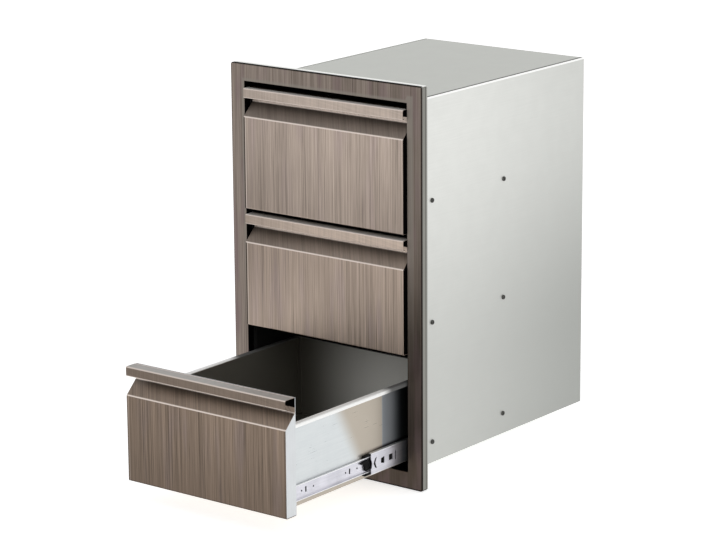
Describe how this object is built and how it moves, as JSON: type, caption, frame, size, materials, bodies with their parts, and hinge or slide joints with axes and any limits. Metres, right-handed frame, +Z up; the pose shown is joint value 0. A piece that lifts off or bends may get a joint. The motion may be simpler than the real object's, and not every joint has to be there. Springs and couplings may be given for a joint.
{
  "type": "recessed outdoor kitchen drawer unit",
  "caption": "Recessed outdoor kitchen drawer unit: bronze brushed steel frame and fronts with folded handles, steel cabinet, trays on full-extension ball bearing slides.",
  "frame": {"origin": "on the underside of the cabinet, in the middle of its width, in the plane of the island's face that the rear edge of the trim frame bears on", "axes": "+X to the unit's right seen from the front, +Y into the island, +Z up; drawers open towards -Y"},
  "size_m": [0.391, 0.8115, 0.667],
  "materials": {
    "bronze_steel": "brown tinted, long vertical brushing, satin",
    "bare_steel": "bare stainless sheet, fine matt brushing",
    "plated_steel": "bright zinc plated and rolled",
    "screw_steel": "dark satin",
    "black_plastic": "moulded, matt"
  },
  "bodies": {
    "cabinet": {"trim_frame": "bronze_steel", "cabinet_top": "bare_steel", "cabinet_bottom": "bare_steel", "cabinet_back": "bare_steel", "cabinet_side_left": "bare_steel", "cabinet_side_right": "bare_steel", "bottom_left_cabinet_member": "plated_steel", "screw_left_bottom_front": "screw_steel", "screw_left_bottom_rear": "screw_steel", "bottom_right_cabinet_member": "plated_steel", "screw_right_bottom_front": "screw_steel", "screw_right_bottom_rear": "screw_steel", "middle_left_cabinet_member": "plated_steel", "screw_left_middle_front": "screw_steel", "screw_left_middle_rear": "screw_steel", "middle_right_cabinet_member": "plated_steel", "screw_right_middle_front": "screw_steel", "screw_right_middle_rear": "screw_steel", "top_left_cabinet_member": "plated_steel", "screw_left_top_front": "screw_steel", "screw_left_top_rear": "screw_steel", "top_right_cabinet_member": "plated_steel", "screw_right_top_front": "screw_steel", "screw_right_top_rear": "screw_steel"},
    "bottom_drawer": {"bottom_front_skin": "bronze_steel", "bottom_front_liner": "bare_steel", "bottom_tray": "bare_steel", "bottom_tray_back": "bare_steel", "bottom_left_drawer_member": "plated_steel", "bottom_right_drawer_member": "plated_steel"},
    "bottom_runners": {"bottom_left_middle_member": "plated_steel", "bottom_right_middle_member": "plated_steel"},
    "bottom_ball_retainers": {"bottom_left_ball_retainer": "plated_steel", "bottom_right_ball_retainer": "plated_steel"},
    "bottom_left_lever": {"bottom_left_release_lever": "black_plastic"},
    "bottom_right_lever": {"bottom_right_release_lever": "black_plastic"},
    "middle_drawer": {"middle_front_skin": "bronze_steel", "middle_front_liner": "bare_steel", "middle_tray": "bare_steel", "middle_tray_back": "bare_steel", "middle_left_drawer_member": "plated_steel", "middle_right_drawer_member": "plated_steel"},
    "middle_runners": {"middle_left_middle_member": "plated_steel", "middle_right_middle_member": "plated_steel"},
    "middle_ball_retainers": {"middle_left_ball_retainer": "plated_steel", "middle_right_ball_retainer": "plated_steel"},
    "middle_left_lever": {"middle_left_release_lever": "black_plastic"},
    "middle_right_lever": {"middle_right_release_lever": "black_plastic"},
    "top_drawer": {"top_front_skin": "bronze_steel", "top_front_liner": "bare_steel", "top_tray": "bare_steel", "top_tray_back": "bare_steel", "top_left_drawer_member": "plated_steel", "top_right_drawer_member": "plated_steel"},
    "top_runners": {"top_left_middle_member": "plated_steel", "top_right_middle_member": "plated_steel"},
    "top_ball_retainers": {"top_left_ball_retainer": "plated_steel", "top_right_ball_retainer": "plated_steel"},
    "top_left_lever": {"top_left_release_lever": "black_plastic"},
    "top_right_lever": {"top_right_release_lever": "black_plastic"}
  },
  "joints": [
    {"name": "bottom_runners_slide", "type": "slide", "parent": "cabinet", "child": "bottom_runners", "axis": [0, -1, 0], "range_m": [-0.112, 0.088]},
    {"name": "bottom_drawer_slide", "type": "slide", "parent": "bottom_runners", "child": "bottom_drawer", "axis": [0, -1, 0], "range_m": [-0.19, 0.01]},
    {"name": "bottom_retainers_slide", "type": "slide", "parent": "bottom_runners", "child": "bottom_ball_retainers", "axis": [0, -1, 0], "range_m": [-0.0955, 0.0055]},
    {"name": "bottom_left_lever_hinge", "type": "hinge", "parent": "bottom_drawer", "child": "bottom_left_lever", "pos_m": [-0.1564, -0.107, 0.0355], "axis": [1, 0, 0], "range_deg": [-8, 0], "stiffness_Nm_per_rad": 0.02, "springref_deg": 8.59},
    {"name": "bottom_right_lever_hinge", "type": "hinge", "parent": "bottom_drawer", "child": "bottom_right_lever", "pos_m": [0.1564, -0.107, 0.0355], "axis": [1, 0, 0], "range_deg": [0, 8], "stiffness_Nm_per_rad": 0.02, "springref_deg": -8.59},
    {"name": "middle_runners_slide", "type": "slide", "parent": "cabinet", "child": "middle_runners", "axis": [0, -1, 0], "range_m": [0, 0.2]},
    {"name": "middle_drawer_slide", "type": "slide", "parent": "middle_runners", "child": "middle_drawer", "axis": [0, -1, 0], "range_m": [0, 0.2]},
    {"name": "middle_retainers_slide", "type": "slide", "parent": "middle_runners", "child": "middle_ball_retainers", "axis": [0, -1, 0], "range_m": [-0.0005, 0.1005]},
    {"name": "middle_left_lever_hinge", "type": "hinge", "parent": "middle_drawer", "child": "middle_left_lever", "pos_m": [-0.1564, 0.195, 0.23817], "axis": [1, 0, 0], "range_deg": [-8, 0], "stiffness_Nm_per_rad": 0.02, "springref_deg": 8.59},
    {"name": "middle_right_lever_hinge", "type": "hinge", "parent": "middle_drawer", "child": "middle_right_lever", "pos_m": [0.1564, 0.195, 0.23817], "axis": [1, 0, 0], "range_deg": [0, 8], "stiffness_Nm_per_rad": 0.02, "springref_deg": -8.59},
    {"name": "top_runners_slide", "type": "slide", "parent": "cabinet", "child": "top_runners", "axis": [0, -1, 0], "range_m": [0, 0.2]},
    {"name": "top_drawer_slide", "type": "slide", "parent": "top_runners", "child": "top_drawer", "axis": [0, -1, 0], "range_m": [0, 0.2]},
    {"name": "top_retainers_slide", "type": "slide", "parent": "top_runners", "child": "top_ball_retainers", "axis": [0, -1, 0], "range_m": [-0.0005, 0.1005]},
    {"name": "top_left_lever_hinge", "type": "hinge", "parent": "top_drawer", "child": "top_left_lever", "pos_m": [-0.1564, 0.195, 0.44083], "axis": [1, 0, 0], "range_deg": [-8, 0], "stiffness_Nm_per_rad": 0.02, "springref_deg": 8.59},
    {"name": "top_right_lever_hinge", "type": "hinge", "parent": "top_drawer", "child": "top_right_lever", "pos_m": [0.1564, 0.195, 0.44083], "axis": [1, 0, 0], "range_deg": [0, 8], "stiffness_Nm_per_rad": 0.02, "springref_deg": -8.59}
  ],
  "couplings": [
    {"joint": "bottom_retainers_slide", "follows": "bottom_drawer_slide", "ratio": 0.5},
    {"joint": "middle_retainers_slide", "follows": "middle_drawer_slide", "ratio": 0.5},
    {"joint": "top_retainers_slide", "follows": "top_drawer_slide", "ratio": 0.5}
  ]
}
